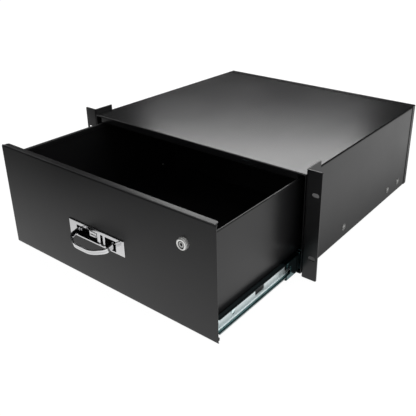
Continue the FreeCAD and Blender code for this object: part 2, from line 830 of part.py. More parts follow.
def handle_plate():
    """Cast plate round the grip's window, with a lug for each pivot pin and two rear studs."""
    half_w = plate_width / 2
    half_h = plate_height / 2
    plate = box(handle_x - half_w, handle_x + half_w, face_y - plate_thick, face_y,
                handle_z - half_h, handle_z + half_h)
    rim = [e for e in plate.Edges if abs(e.CenterOfMass.y - face_y + plate_thick) < 0.01]
    plate = plate.makeChamfer(plate_bevel, rim)
    window = rounded_window("y", face_y - plate_thick - 1, face_y + 1,
                            handle_x - plate_window_width / 2, handle_x + plate_window_width / 2,
                            window_z - plate_window_height / 2, window_z + plate_window_height / 2,
                            plate_window_corner)
    plate = plate.cut(window)
    lugs = []
    for side in (-1, 1):
        inner = handle_x + side * plate_window_width / 2
        outer = inner + side * lug_thick
        lugs.append(box(min(inner, outer), max(inner, outer), face_y - plate_thick / 2, face_y + lug_reach,
                        pivot_z - eye_r, pivot_z + eye_r))
    stud = front_gauge + lock_nut_thick + stud_end
    studs = [shank(place + Y * stud, Y, screw_r, stud + plate_thick / 2) for place in plate_stud_points()]
    pins = [bore(Vector(handle_x, pivot_y, pivot_z), X, pin_r + pin_play, plate_window_width, pin_sides)]
    return cut(joined([plate] + lugs + studs), pins)


def hexagon_nut(place, across, thick, hole):
    """Nut that stands on the place and faces the rear."""
    corner = across / math.sqrt(3)
    points = [(place.x + corner * math.cos(math.radians(60 * i)),
               place.z + corner * math.sin(math.radians(60 * i))) for i in range(6)]
    return prism(points, "y", place.y, place.y + thick).cut(hole)


def handle_nuts():
    """Nuts on the handle plate's studs, behind the panel."""
    return [hexagon_nut(place + Y * front_gauge, stud_nut_across, lock_nut_thick,
                        screw_hole(place, Y, 3 * lock_nut_thick)) for place in plate_stud_points()]


def handle_cup():
    """Pressed cup behind the window, with a rim on the back of the panel and a slot for the latch."""
    x0, x1, z0, z1 = cup_outline()
    cup = box(x0, x1, face_y, cup_bottom_y, z0, z1)
    cup = cup.makeChamfer(cup_gauge, [e for e in cup.Edges if abs(e.CenterOfMass.y - cup_bottom_y) < 0.01])
    rim = box(x0 - cup_flange, x1 + cup_flange, sheet_back, sheet_back + cup_gauge,
              z0 - cup_flange, z1 + cup_flange)
    hollow = box(x0 + cup_gauge, x1 - cup_gauge, face_y - 1, cup_bottom_y - cup_gauge,
                 z0 + cup_gauge, z1 - cup_gauge)
    slot_half = stem_r + latch_clear
    slot = box(latch_x - slot_half, latch_x + slot_half, cup_bottom_y - 2 * cup_gauge, cup_bottom_y + 1,
               handle_z - slot_half - latch_stroke, handle_z + slot_half)
    return cut(joined([cup, rim]), [hollow, slot])


def bail_handle():
    """D-shaped grip: a flat band bent to a bow, with an eye at each end, hung at an angle."""
    half = eye_outer
    shoulder = bail_reach * bail_shoulder
    crown = half * bail_crown
    points = [(-half, 0), (-half, -shoulder), (-crown, -bail_reach), (crown, -bail_reach),
              (half, -shoulder), (half, 0)]
    radii = [bail_shoulder_bend, bail_crown_bend, bail_crown_bend, bail_shoulder_bend]
    band = bent_strip(points, bail_thick, radii, "z", -bail_band / 2, bail_band / 2)
    profile = [(0.0, 0.0), (eye_r, 0.0), (eye_r, eye_width), (0.0, eye_width)]
    eyes = [turned_flats(profile, Vector(start, 0, 0), X, eye_sides) for start in (-eye_outer, eye_inner)]
    hole = bore(Vector(0, 0, 0), X, pin_r + pin_play, plate_window_width, pin_sides)
    bail = cut(joined([band] + eyes), [hole])
    bail.rotate(Vector(0, 0, 0), X, bail_droop)
    bail.translate(Vector(handle_x, pivot_y, pivot_z))
    return bail


def pivot_pins():
    """A pin through each lug and eye."""
    length = lug_thick + eye_side_gap + eye_width + eye_gap + spring_length
    start = plate_window_width / 2 + lug_thick - length
    profile = [(0.0, 0.0), (pin_r, 0.0), (pin_r, length), (0.0, length)]
    return [turned_flats(profile, Vector(handle_x + side * start, pivot_y, pivot_z), X * side, pin_sides)
            for side in (-1, 1)]


def bail_springs():
    """Torsion springs on the pins, inside the eyes, that return the grip to its stop."""
    start = eye_inner - eye_gap - spring_length
    size = (spring_r, spring_wire, spring_coils, spring_length)
    return [coil(Vector(handle_x + side * start, pivot_y, pivot_z), X * side, *size) for side in (-1, 1)]


def guide_posts():
    """Two upright posts across the cup, of unequal width, that stand forward beside the thumb pad."""
    z0 = window_z - plate_window_height / 2
    z1 = window_z + plate_window_height / 2
    floor = cup_bottom_y - cup_gauge
    front = floor - cup_gauge - post_depth
    edges = [handle_x + shift + side * width / 2 for shift, width in post_sizes for side in (-1, 1)]
    foot = box(edges[0], edges[-1], floor - cup_gauge, floor, z0, z1)
    posts = []
    for x0, x1 in zip(edges[::2], edges[1::2]):
        post = box(x0, x1, front, floor - cup_gauge / 2, z0, z1)
        nose = [e for e in post.Edges if abs(e.CenterOfMass.z - window_z) < 0.01
                and abs(e.CenterOfMass.y - front) < 0.01]
        posts.append(post.makeChamfer(post_bevel, nose))
    return joined([foot] + posts)


def latch_slider():
    """Thumb pad with two oval lobes, on a stem that passes through the cup to the latch bar."""
    back = cup_bottom_y - cup_gauge - cup_play
    front = back - pad_thick
    middle = handle_z + pad_rise
    pad = rounded_window("y", front, back, latch_x - pad_width / 2, latch_x + pad_width / 2,
                         middle - pad_height / 2, middle + pad_height / 2, pad_round)
    lobes = []
    for side in (-1, 1):
        low = middle + side * pad_height / 4 - lobe_height / 2
        lobes.append(rounded_window("y", front - lobe_out, front, latch_x - lobe_width / 2,
                                    latch_x + lobe_width / 2, low, low + lobe_height, lobe_round))
    stem = shank(Vector(latch_x, latch_back, handle_z), Y, stem_r, latch_back - front)
    return joined([pad, stem] + lobes)


def latch_bar():
    """Flat bar behind the panel: its hooked tip stands behind the casing's front lip when closed."""
    half = latch_bar_width / 2
    low = handle_z - latch_tail
    points = [(latch_x - half, low), (latch_x + half, low), (latch_x + half, latch_tip_z - half / 2),
              (latch_x + half / 2, latch_tip_z), (latch_x - half / 2, latch_tip_z),
              (latch_x - half, latch_tip_z - half / 2)]
    bar = prism(points, "y", latch_back, latch_back + latch_bar_thick)
    ramp = [(latch_back - 1, latch_tip_z - latch_bar_thick), (latch_back, latch_tip_z - latch_bar_thick / 2),
            (latch_back + latch_bar_thick / 2, latch_tip_z + 1), (latch_back - 1, latch_tip_z + 1)]
    foot = box(latch_x - latch_spring_r, latch_x + latch_spring_r, latch_back, latch_back + 2 * latch_spring_r,
               low, low + latch_bar_thick)
    return cut(joined([bar, foot]), [prism(ramp, "x", latch_x - half, latch_x + half)])


def latch_guides():
    """Straps on the back of the panel that guide the bar, the lowest one with the spring's seat."""
    half = latch_bar_width / 2 + guide_play
    back = latch_back + latch_bar_thick + guide_play
    straps = []
    for shift in guide_offsets:
        points = [(latch_x - half - guide_foot, sheet_back), (latch_x - half, sheet_back), (latch_x - half, back),
                  (latch_x + half, back), (latch_x + half, sheet_back), (latch_x + half + guide_foot, sheet_back)]
        low = handle_z + shift
        straps.append(bent_strip(points, guide_gauge, [guide_bend] * 4, "z", low, low + guide_height))
    seat_z = handle_z - latch_tail - latch_spring_length - guide_gauge
    points = [(sheet_back, seat_z - guide_height), (sheet_back, seat_z + guide_gauge),
              (latch_back + 2 * latch_spring_r + 1, seat_z + guide_gauge)]
    seat = bent_strip(points[::-1], guide_gauge, [guide_bend], "x", latch_x - half, latch_x + half)
    return straps + [seat]


def latch_spring():
    """Coil that lifts the latch bar."""
    low = handle_z - latch_tail - latch_spring_length
    place = Vector(latch_x, latch_back + latch_spring_r, low)
    return coil(place, Z, latch_spring_r, latch_spring_wire, latch_spring_coils, latch_spring_length)


# ---- cam lock ---------------------------------------------------------------------------
def lock_point(out):
    """Point on the lock's axis, this far behind the panel's front face."""
    return Vector(lock_x, face_y + out, lock_z)


def lock_barrel():
    """Turned barrel with a bevelled head, bored for the plug."""
    inner = (lock_plug_r + plug_play) / math.cos(math.pi / barrel_sides)
    head = lock_head_out
    length = latch_back - face_y - barrel_back
    points = [(inner, -head + lock_mouth_depth), (inner + lock_mouth, -head),
              (lock_head_r - lock_head_bevel, -head), (lock_head_r, -head + lock_head_bevel),
              (lock_head_r, 0.0), (lock_body_r, 0.0), (lock_body_r, length), (inner, length),
              (inner, -head + lock_mouth_depth)]
    return turned_flats(points, lock_point(0), Y, barrel_sides)


def lock_plug():
    """Key plug with its keyway and the square shank that drives the cam."""
    front = -lock_head_out + plug_setback
    seat = latch_back - face_y
    profile = [(0.0, front), (lock_plug_r, front), (lock_plug_r, seat - lock_cam_gap), (0.0, seat - lock_cam_gap)]
    plug = turned_flats(profile, lock_point(0), Y, barrel_sides)
    half = drive_side / 2
    drive = box(lock_x - half, lock_x + half, latch_back - lock_cam_gap, latch_back + cam_thick,
                lock_z - half, lock_z + half)
    keyway = box(lock_x - keyhole_width / 2, lock_x + keyhole_width / 2, face_y + front - 1,
                 face_y + front + keyhole_depth, lock_z - keyhole_height / 2, lock_z + keyhole_height / 2)
    return cut(joined([plug, drive]), [keyway])


def lock_nut():
    """Nut that clamps the barrel to the panel."""
    hole = bore(lock_point(0), Y, lock_body_r + hole_play, 3 * lock_nut_thick, barrel_sides)
    return hexagon_nut(lock_point(front_gauge), lock_nut_across, lock_nut_thick, hole)


def lock_cam():
    """Cam lever, drawn unlocked and pointing to the left."""
    seat = latch_back
    half = cam_width / 2
    lever = rounded_window("y", seat, seat + cam_thick, lock_x - cam_length, lock_x + half,
                           lock_z - half, lock_z + half, cam_round)
    side = drive_side / 2 + drive_play
    hole = box(lock_x - side, lock_x + side, seat - 1, seat + cam_thick + 1, lock_z - side, lock_z + side)
    return cut(lever, [hole])


def cam_screw():
    """Screw head that keeps the cam on the shank."""
    seat = latch_back - face_y + cam_thick
    points = [(0.0, 0.0), (screw_head_r, 0.0), (screw_head_r, screw_head_h - screw_head_round),
              (screw_head_r - screw_head_round, screw_head_h), (0.0, screw_head_h)]
    return turned_flats(points, lock_point(seat), Y, head_sides)


# ---- fasteners --------------------------------------------------------------------------
def case_slide_screws():
    """Screws that hold the outer rails, with their heads outside the casing."""
    length = case_gauge + slide_gauge
    return both_sides([pan_screw(place, -X, length) for place in case_screw_points()])


def tray_slide_screws():
    """Flat-headed screws that hold the inner rails to the drawer."""
    length = slide_gauge + drawer_gauge
    return both_sides([pan_screw(place, -X, length, rail_head_h) for place in tray_screw_points()])


def cover_screws():
    """Screws up through the ledges into the cover."""
    length = case_gauge + cover_screw_bite
    return both_sides([hex_screw(place, -Z, length) for place in cover_screw_points()])


def rear_screws():
    """Screws through the rear panel into the casing's inturned edge."""
    return [pan_screw(place, Y, rear_gauge + case_gauge) for place in rear_screw_points()]


def front_screws():
    """Screws through the drawer's front tabs."""
    return both_sides([hex_screw(place, Y, drawer_gauge) for place in front_screw_points()])


def back_rivets():
    """Rivets between the drawer's sides and back."""
    length = 2 * drawer_gauge
    return both_sides([pan_screw(place, -X, length, rail_head_h) for place in back_rivet_points()])


def build():
    """Write every node."""
    os.makedirs("parts", exist_ok=True)
    save("casing_body", casing_body())
    save("top_cover", top_cover())
    save("rear_panel", rear_panel())
    save("ear_rivets", both_sides(ear_rivets()))
    save("cover_screws", cover_screws())
    save("rear_screws", rear_screws())
    save("case_slide_screws", case_slide_screws())
    save("rail_bumpers", both_sides([rail_bumper()]))
    paired = {
        "ear": ear(),
        "outer_rail": outer_rail(),
        "middle_rail": middle_rail(),
        "inner_rail": inner_rail(),
        "outer_cage": ball_cage(outer_ball_z, cage_web, outer_cage_start, outer_cage_length),
        "inner_cage": ball_cage(inner_ball_z, inner_cage_web, inner_cage_start, inner_cage_length),
        "outer_balls": ball_rows(outer_ball_z, outer_cage_start, outer_cage_length),
        "inner_balls": ball_rows(inner_ball_z, inner_cage_start, inner_cage_length),
    }
    for name, shape in paired.items():
        pieces = shape if isinstance(shape, list) else [shape]
        save("left_" + name, pieces)
        save("right_" + name, [mirrored(piece) for piece in pieces])
    save("drawer_tray", drawer_tray())
    save("drawer_back", drawer_back())
    save("drawer_front", drawer_front())
    save("tray_slide_screws", tray_slide_screws())
    save("front_screws", front_screws())
    save("back_rivets", back_rivets())
    save("handle_plate", handle_plate())
    save("handle_nuts", handle_nuts())
    save("handle_cup", handle_cup())
    save("guide_posts", guide_posts())
    save("pivot_pins", pivot_pins())
    save("bail_springs", bail_springs())
    save("bail_handle", bail_handle())
    save("latch_slider", latch_slider())
    save("latch_bar", latch_bar())
    save("latch_guides", latch_guides())
    save("latch_spring", latch_spring())
    save("lock_barrel", lock_barrel())
    save("lock_nut", lock_nut())
    save("lock_plug", lock_plug())
    save("lock_cam", lock_cam())
    save("cam_screw", cam_screw())


build()
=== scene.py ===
"""Looks of the sliding rack drawer: materials, small details, studio and camera.

Lengths are in metres, in the part's own frame: X to the right, Y to the rear and Z up.
"""
import bpy
import bmesh
import json
import math
from mathutils import Matrix, Vector


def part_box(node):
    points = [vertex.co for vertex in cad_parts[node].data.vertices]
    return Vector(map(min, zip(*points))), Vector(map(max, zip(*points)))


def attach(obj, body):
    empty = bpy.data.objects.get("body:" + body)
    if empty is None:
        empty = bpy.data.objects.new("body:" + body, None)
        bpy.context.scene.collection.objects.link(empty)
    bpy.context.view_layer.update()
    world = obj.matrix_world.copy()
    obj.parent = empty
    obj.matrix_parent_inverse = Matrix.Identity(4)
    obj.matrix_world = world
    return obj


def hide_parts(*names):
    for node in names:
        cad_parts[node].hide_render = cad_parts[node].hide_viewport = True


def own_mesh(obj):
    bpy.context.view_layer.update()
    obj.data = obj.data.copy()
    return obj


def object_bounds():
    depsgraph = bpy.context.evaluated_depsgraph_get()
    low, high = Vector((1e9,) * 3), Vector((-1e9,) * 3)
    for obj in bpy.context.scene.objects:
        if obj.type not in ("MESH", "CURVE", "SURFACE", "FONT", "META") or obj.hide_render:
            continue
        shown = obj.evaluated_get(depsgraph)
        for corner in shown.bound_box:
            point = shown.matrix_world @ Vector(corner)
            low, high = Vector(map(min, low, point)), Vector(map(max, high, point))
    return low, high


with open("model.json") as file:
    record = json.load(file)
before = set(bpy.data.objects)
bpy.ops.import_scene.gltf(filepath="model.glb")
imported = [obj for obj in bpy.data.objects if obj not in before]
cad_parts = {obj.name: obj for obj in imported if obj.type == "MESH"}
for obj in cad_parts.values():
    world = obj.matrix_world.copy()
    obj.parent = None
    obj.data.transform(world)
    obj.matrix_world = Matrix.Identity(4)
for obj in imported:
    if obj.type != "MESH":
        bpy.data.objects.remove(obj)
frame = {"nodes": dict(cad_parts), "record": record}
cad_box = [list(v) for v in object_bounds()]
nodes = frame["nodes"]
scene = bpy.context.scene
MM = 0.001

joints = {joint["name"]: joint for joint in frame["record"]["behaviour"]["joints"]}
lock_axis = joints["lock_turn"]["pos_m"]


# ---- node helpers -----------------------------------------------------------------------
# Sockets of a Mix node that mixes colours: its inputs, then its output.
MIX_SHARE, MIX_FIRST, MIX_SECOND = 0, 6, 7
MIX_COLOUR = 2


class Tree:
    """A material's nodes, added one by one."""

    def __init__(self, name):
        self.material = bpy.data.materials.new(name)
        self.material.use_nodes = True
        self.tree = self.material.node_tree
        self.shader = self.tree.nodes["Principled BSDF"]
        self.where = self.add("ShaderNodeTexCoord").outputs["Object"]

    def add(self, kind, **inputs):
        """New node; an underscore in an input's name stands for a space."""
        node = self.tree.nodes.new(kind)
        for key, value in inputs.items():
            self.put(node, key.replace("_", " "), value)
        return node

    def put(self, node, key, value):
        """Link a socket to a node's input, or set the input's own value."""
        if isinstance(value, bpy.types.NodeSocket):
            self.tree.links.new(value, node.inputs[key])
        else:
            node.inputs[key].default_value = value

    def noise(self, scale, detail, rough, stretch=None):
        """Soft noise over the object; stretch scales it along X, Y and Z."""
        place = self.where
        if stretch:
            mapping = self.add("ShaderNodeMapping", Vector=self.where)
            mapping.inputs["Scale"].default_value = stretch
            place = mapping.outputs["Vector"]
        return self.add("ShaderNodeTexNoise", Vector=place, Scale=scale, Detail=detail,
                        Roughness=rough).outputs["Fac"]

    def span(self, value, low, high, start=0.0, end=1.0):
        """low to high as the value goes from start to end."""
        node = self.tree.nodes.new("ShaderNodeMapRange")
        self.tree.links.new(value, node.inputs["Value"])
        for key, number in (("From Min", start), ("From Max", end), ("To Min", low), ("To Max", high)):
            node.inputs[key].default_value = number
        return node.outputs["Result"]

    def blend(self, share, first, second):
        """First colour where the share is 0, second where it is 1."""
        node = self.tree.nodes.new("ShaderNodeMix")
        node.data_type = "RGBA"
        self.put(node, MIX_SHARE, share)
        for index, colour in ((MIX_FIRST, first), (MIX_SECOND, second)):
            if isinstance(colour, bpy.types.NodeSocket):
                self.tree.links.new(colour, node.inputs[index])
            else:
                node.inputs[index].default_value = (*colour, 1.0)
        return node.outputs[MIX_COLOUR]

    def multiply(self, first, second):
        """Product of two colours."""
        node = self.tree.nodes.new("ShaderNodeMix")
        node.data_type = "RGBA"
        node.blend_type = "MULTIPLY"
        node.inputs[MIX_SHARE].default_value = 1.0
        self.tree.links.new(first, node.inputs[MIX_FIRST])
        self.tree.links.new(second, node.inputs[MIX_SECOND])
        return node.outputs[MIX_COLOUR]

    def ramp(self, value, stops):
        """Colours along a value: stops are (position 0 to 1, colour)."""
        node = self.add("ShaderNodeValToRGB", Fac=value)
        band = node.color_ramp.elements
        while len(band) < len(stops):
            band.new(0.5)
        for spot, (position, colour) in zip(band, stops):
            spot.position = position
            spot.color = (*colour, 1.0)
        return node.outputs["Color"]

    def math(self, operation, first, second=None):
        """Result of a sum on one or two values."""
        node = self.tree.nodes.new("ShaderNodeMath")
        node.operation = operation
        self.put(node, 0, first)
        if second is not None:
            self.put(node, 1, second)
        return node.outputs[0]

    def bump(self, height, strength, distance):
        """Surface direction for a height; distance in metres."""
        node = self.add("ShaderNodeBump", Height=height, Strength=strength, Distance=distance)
        return node.outputs["Normal"]

    def finish(self, **inputs):
        """Fill in the shader's inputs and give the material."""
        for key, value in inputs.items():
            self.put(self.shader, key.replace("_", " "), value)
        return self.material


def powder_coat(name="black_powder_coat", low=0.27, high=0.35, specular=0.36):
    """Satin black powder coat: fine orange peel, slightly uneven gloss, faint handling marks."""
    t = Tree(name)
    dark, pale = (0.0055, 0.0055, 0.006), (0.0085, 0.0085, 0.009)
    peel = t.noise(900.0, 3.0, 0.6)
    cloud = t.noise(9.0, 4.0, 0.6)
    marks = t.noise(60.0, 5.0, 0.7, (1.0, 0.25, 0.25))
    colour = t.blend(t.span(cloud, 0.0, 1.0, 0.35, 0.7), dark, pale)
    rough = t.span(t.blend(0.4, cloud, marks), low, high, 0.3, 0.7)
    return t.finish(Base_Color=colour, Roughness=rough, Normal=t.bump(peel, 0.1, 0.0002),
                    Specular_IOR_Level=specular)


def zinc(name="zinc_steel", pale=(0.8, 0.9, 0.9), race=None):
    """Clear zinc plate with a cool passivation tint and rolling marks along the rail.

    race: height of the rail's middle, then the distances from the drawer's middle plane where the
    painted shade on the flange starts and ends. The flange is painted in dark and teal bands that
    stand for shade and reflection, with a less dark lip. The rail's web is matt and pale, and its
    upper flange is painted black as shade.
    """
    t = Tree(name)
    grain = t.noise(2200.0, 2.0, 0.5, (1.0, 0.02, 1.0))
    cloud = t.noise(25.0, 4.0, 0.6)
    colour = t.blend(cloud, tuple(c * k for c, k in zip(pale, (0.82, 0.89, 0.91))), pale)
    low, high = (0.4, 0.5) if race else (0.1, 0.18)
    rough = t.span(grain, low, high, 0.3, 0.7)
    if race:
        middle, start, end = race
        split = t.add("ShaderNodeSeparateXYZ", Vector=t.where)
        depth = t.span(t.math("ABSOLUTE", split.outputs["X"]), 0.0, 1.0, start, end)
        # Painted shade and reflection: dark and teal bands across the flange.
        teal_painted_shade = t.blend(t.noise(180.0, 3.0, 0.6), (0.05, 0.13, 0.13), (0.1, 0.22, 0.22))
        dark, lip = (0.1, 0.16, 0.18), (0.5, 0.56, 0.56)
        full, none = (1, 1, 1), (0, 0, 0)
        tone = t.ramp(depth, [(0.0, dark), (0.12, dark), (0.2, full), (0.42, full), (0.52, dark),
                              (0.74, dark), (0.9, lip), (1.0, lip)])
        lip_share = t.ramp(depth, [(0.0, none), (0.8, none), (0.88, full)])
        share = t.ramp(depth, [(0.0, none), (0.06, full), (1.0, full)])
        painted_bands = t.multiply(tone, t.blend(lip_share, teal_painted_shade, full))
        colour = t.blend(share, colour, painted_bands)
        # Painted shade: the upper flange is painted nearly black.
        upper_flange = t.span(split.outputs["Z"], 0.0, 1.0, middle + 9.4 * MM, middle + 9.8 * MM)
        colour = t.blend(upper_flange, colour, (0.012, 0.02, 0.022))
    return t.finish(Base_Color=colour, Roughness=rough, Normal=t.bump(grain, 0.05, 0.00002),
                    Metallic=0.6 if race else 1.0)


def chrome(name="chrome_handle", colour=(0.78, 0.78, 0.79), low=0.05, high=0.12, painted_stripe=None):
    """Polished plate with a faint haze and tiny waviness.

    The last argument: (point, direction across the band) of a darker stripe painted along the middle
    of a band, a painted reflection.
    """
    t = Tree(name)
    haze = t.noise(120.0, 4.0, 0.6)
    wave = t.noise(160.0, 1.0, 0.5)
    tint = t.blend(haze, tuple(c * 0.92 for c in colour), colour)
    normal = t.bump(wave, 0.08, 0.0003)
    if painted_stripe:
        point, across = painted_stripe
        offset = t.tree.nodes.new("ShaderNodeVectorMath")
        offset.operation = "DOT_PRODUCT"
        t.tree.links.new(t.where, offset.inputs[0])
        offset.inputs[1].default_value = across
        middle = Vector(point).dot(Vector(across))
        reach = t.math("ABSOLUTE", t.math("SUBTRACT", offset.outputs["Value"], middle))
        # Painted reflection: the middle of the band is painted darker.
        inside = t.span(reach, 1.0, 0.0, 0.3 * MM, 1.5 * MM)
        tint = t.blend(t.math("MULTIPLY", inside, 0.6), tint, tuple(c * 0.6 for c in colour))
    return t.finish(Base_Color=tint, Roughness=t.span(haze, low, high, 0.3, 0.7), Normal=normal, Metallic=1.0)


def lock_face(name, radius, rings, knurled):
    """Plated lock part: rings are (share of the radius from the lock's axis, brightness); its dark rings are
    painted shade.

    knurled gives the rim fine ribs and a duller sheen.
    """
    t = Tree(name)
    haze = t.noise(300.0, 3.0, 0.6)
    split = t.add("ShaderNodeSeparateXYZ", Vector=t.where)
    across = t.math("SUBTRACT", split.outputs["X"], lock_axis[0])
    upward = t.math("SUBTRACT", split.outputs["Z"], lock_axis[2])
    squares = t.math("ADD", t.math("MULTIPLY", across, across), t.math("MULTIPLY", upward, upward))
    reach = t.math("SQRT", squares)
    stops = [(place, (level, level, level * 0.98)) for place, level in rings]
    tone = t.ramp(t.span(reach, 0.0, 1.0, 0.0, radius), stops)
    colour = t.multiply(tone, t.blend(haze, (0.85, 0.85, 0.85), (1.0, 1.0, 1.0)))
    rough = t.span(haze, 0.12, 0.22, 0.3, 0.7)
    if not knurled:
        return t.finish(Base_Color=colour, Roughness=rough, Metallic=1.0)
    ribs = 26.0
    wave = t.math("SINE", t.math("MULTIPLY", t.math("ARCTAN2", upward, across), ribs))
    rim = t.span(reach, 0.0, 1.0, radius * 0.66, radius * 0.7)
    duller = t.math("ADD", rough, t.math("MULTIPLY", rim, 0.35))
    ribbed = t.bump(t.math("MULTIPLY", wave, rim), 0.6, 0.0003)
    return t.finish(Base_Color=colour, Roughness=duller, Metallic=1.0, Normal=ribbed)


def bright_screw(name="bright_screw"):
    """Nickel-plated screw with turned marks."""
    t = Tree(name)
    haze = t.noise(400.0, 3.0, 0.6)
    colour = t.blend(haze, (0.2, 0.2, 0.2), (0.34, 0.34, 0.33))
    return t.finish(Base_Color=colour, Roughness=t.span(haze, 0.1, 0.2, 0.3, 0.7),
                    Normal=t.bump(haze, 0.1, 0.0001), Metallic=1.0)


def steel(name, colour, low, high):
    """Plain steel part: springs and balls."""
    t = Tree(name)
    haze = t.noise(300.0, 3.0, 0.6)
    tint = t.blend(haze, tuple(c * 0.85 for c in colour), colour)
    return t.finish(Base_Color=tint, Roughness=t.span(haze, low, high, 0.3, 0.7), Metallic=1.0)


def rubber(name="black_rubber"):
    """Moulded rubber."""
    t = Tree(name)
    grain = t.noise(700.0, 3.0, 0.6)
    colour = t.blend(grain, (0.012, 0.012, 0.012), (0.02, 0.02, 0.02))
    return t.finish(Base_Color=colour, Roughness=t.span(grain, 0.6, 0.8), Normal=t.bump(grain, 0.2, 0.0002))


# The black beads along the casing's joints are painted shadow lines, with almost no sheen.
shadow_line_black = rubber("black_shadow_line")
shadow_line_black.node_tree.nodes["Principled BSDF"].inputs["Specular IOR Level"].default_value = 0.02
finishes = {
    "black_powder_coat": powder_coat(),
    "zinc_steel": zinc(),
    "bright_screw": bright_screw(),
    "chrome_handle": chrome(),
    "bright_brass": chrome("bright_brass", (0.78, 0.77, 0.74), low=0.12, high=0.22),
    "bearing_steel": steel("bearing_steel", (0.72, 0.72, 0.74), low=0.08, high=0.15),
    "spring_steel": steel("spring_steel", (0.5, 0.5, 0.52), low=0.2, high=0.35),
    "black_rubber": rubber(),
}


# ---- CAD nodes: finish and softened edges -----------------------------------------------
def soften(node, width, segments):
    """Break the sharp edges of a CAD node: width in millimetres."""
    weld = node.modifiers.new("weld", "WELD")
    weld.merge_threshold = 1e-6
    bevel = node.modifiers.new("edges", "BEVEL")
    bevel.width = width * MM
    bevel.segments = segments
    bevel.limit_method = "ANGLE"
    bevel.angle_limit = math.radians(35)
    bevel.use_clamp_overlap = True
    normals = node.modifiers.new("normals", "WEIGHTED_NORMAL")
    normals.keep_sharp = False


# The grip hangs a little below level at rest, and its darker stripe, a painted reflection, runs along the
# band.
grip_droop = math.radians(13)
across_grip = (0, -math.sin(grip_droop), math.cos(grip_droop))
# Painted shade: the dark rings stand for the gap round the plug, the keyhole and the face's edge.
barrel_rings = [(0.0, 0.35), (0.36, 0.35), (0.42, 0.05), (0.47, 0.95), (0.64, 1.0), (0.67, 0.12),
                (0.705, 0.12), (0.722, 1.0)]
plug_rings = [(0.0, 0.012), (0.36, 0.02), (0.46, 0.5), (0.78, 0.6), (0.9, 0.1)]
# The lid lay flat when it was coated, so its coat flowed out smoother.
own_finish = {
    "top_cover": powder_coat("black_powder_coat_lid", low=0.18, high=0.22, specular=0.4),
    "rear_panel": powder_coat("black_powder_coat_rear", specular=0.26),
    "bail_handle": chrome("chrome_bail", painted_stripe=(joints["bail_hinge"]["pos_m"], across_grip)),
    "lock_barrel": lock_face("lock_barrel_plate", 11.5 * MM, barrel_rings, knurled=True),
    "lock_plug": lock_face("lock_plug_plate", 4.6 * MM, plug_rings, knurled=False),
}
# Width of the bands of painted shade on each inner rail's flange.
race_width = 6.2 * MM
for side in ("left", "right"):
    low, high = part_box(side + "_inner_rail")
    reach = max(-low[0], high[0])
    race = ((low[2] + high[2]) / 2, reach - race_width, reach)
    own_finish[side + "_inner_rail"] = zinc("zinc_race_" + side, (0.95, 1.0, 1.0), race)
    # Painted shade: each middle rail is coloured dark teal for the shade it lies in beside the casing.
    own_finish[side + "_middle_rail"] = zinc("zinc_painted_shade_" + side, (0.06, 0.11, 0.115))
for part in frame["record"]["subparts"]:
    node = nodes[part["node"]]
    for place in node.material_slots:
        place.material = own_finish.get(part["node"], finishes[part["material_slot"]])

# Widths of the broken edges, in millimetres. Those past the plain width get a third segment.
edge_breaks = {"drawer_front": 0.35, "top_cover": 0.25, "casing_body": 0.25, "rear_panel": 0.25,
               "left_ear": 0.35, "right_ear": 0.35, "drawer_tray": 0.55, "drawer_back": 0.25,
               "handle_plate": 0.3, "bail_handle": 1.1, "latch_slider": 0.5, "guide_posts": 0.7,
               "lock_barrel": 0.25, "lock_plug": 0.2}
widest_plain_edge = 0.3
for name, width in edge_breaks.items():
    soften(nodes[name], width, 3 if width > widest_plain_edge else 2)


# ---- sizes of the small pieces ----------------------------------------------------------
head_radius, shank_radius = 4.3 * MM, 1.9 * MM
head_height, flat_head_height = 2.2 * MM, 0.5 * MM
screw_length, rail_screw_length = 2.2 * MM, 2.0 * MM
washer_radius, washer_height = 6.0 * MM, 0.5 * MM
rivet_radius, rivet_height, rivet_length = 3.2 * MM, 1.1 * MM, 0.8 * MM
tray_gauge = 1.0 * MM
coil_wire, coil_turns = 0.45 * MM, 7


# ---- shapes of the small pieces ---------------------------------------------------------
def lathe(bm, points, segments):
    """Turned skin on bm: points are (radius, height) pairs that start and end on the axis."""
    rings = []
    for radius, height in points:
        if radius == 0:
            rings.append([bm.verts.new((0, 0, height))])
            continue
        turns = [2 * math.pi * i / segments for i in range(segments)]
        rings.append([bm.verts.new((radius * math.cos(a), radius * math.sin(a), height)) for a in turns])
    for low, high in zip(rings, rings[1:]):
        for i in range(segments):
            j = (i + 1) % segments
            corners = [low[i % len(low)], low[j % len(low)], high[j % len(high)], high[i % len(high)]]
            bm.faces.new([v for k, v in enumerate(corners) if v not in corners[:k]])


def cross_cutter(arm, width, low, high):
    """Cross-shaped tapered tool for a screw's recess."""
    bm = bmesh.new()
    taper = 0.35
    w, a = width / 2, arm
    outline = [(a, -w), (a, w), (w, w), (w, a), (-w, a), (-w, w), (-a, w), (-a, -w), (-w, -w), (-w, -a),
               (w, -a), (w, -w)]
    base = [bm.verts.new((x * taper, y * taper, low)) for x, y in outline]
    top = [bm.verts.new((x, y, high)) for x, y in outline]
    bm.faces.new(base[::-1])
    bm.faces.new(top)
    for i in range(len(outline)):
        j = (i + 1) % len(outline)
        bm.faces.new([base[i], base[j], top[j], top[i]])
    return bm


def turned_ring(bm, section, segments):
    """Closed section of (radius, height) points turned round Z."""
    rings = []
    for i in range(segments):
        angle = 2 * math.pi * i / segments
        rings.append([bm.verts.new((r * math.cos(angle), r * math.sin(angle), h)) for r, h in section])
    for i, ring in enumerate(rings):
        following = rings[(i + 1) % segments]
        for k in range(len(section)):
            m = (k + 1) % len(section)
            bm.faces.new([ring[k], following[k], following[m], ring[m]])


def mesh_of(bm, name):
    """Mesh of bm, which is then let go."""
    mesh = bpy.data.meshes.new(name)
    bm.to_mesh(mesh)
    bm.free()
    return mesh


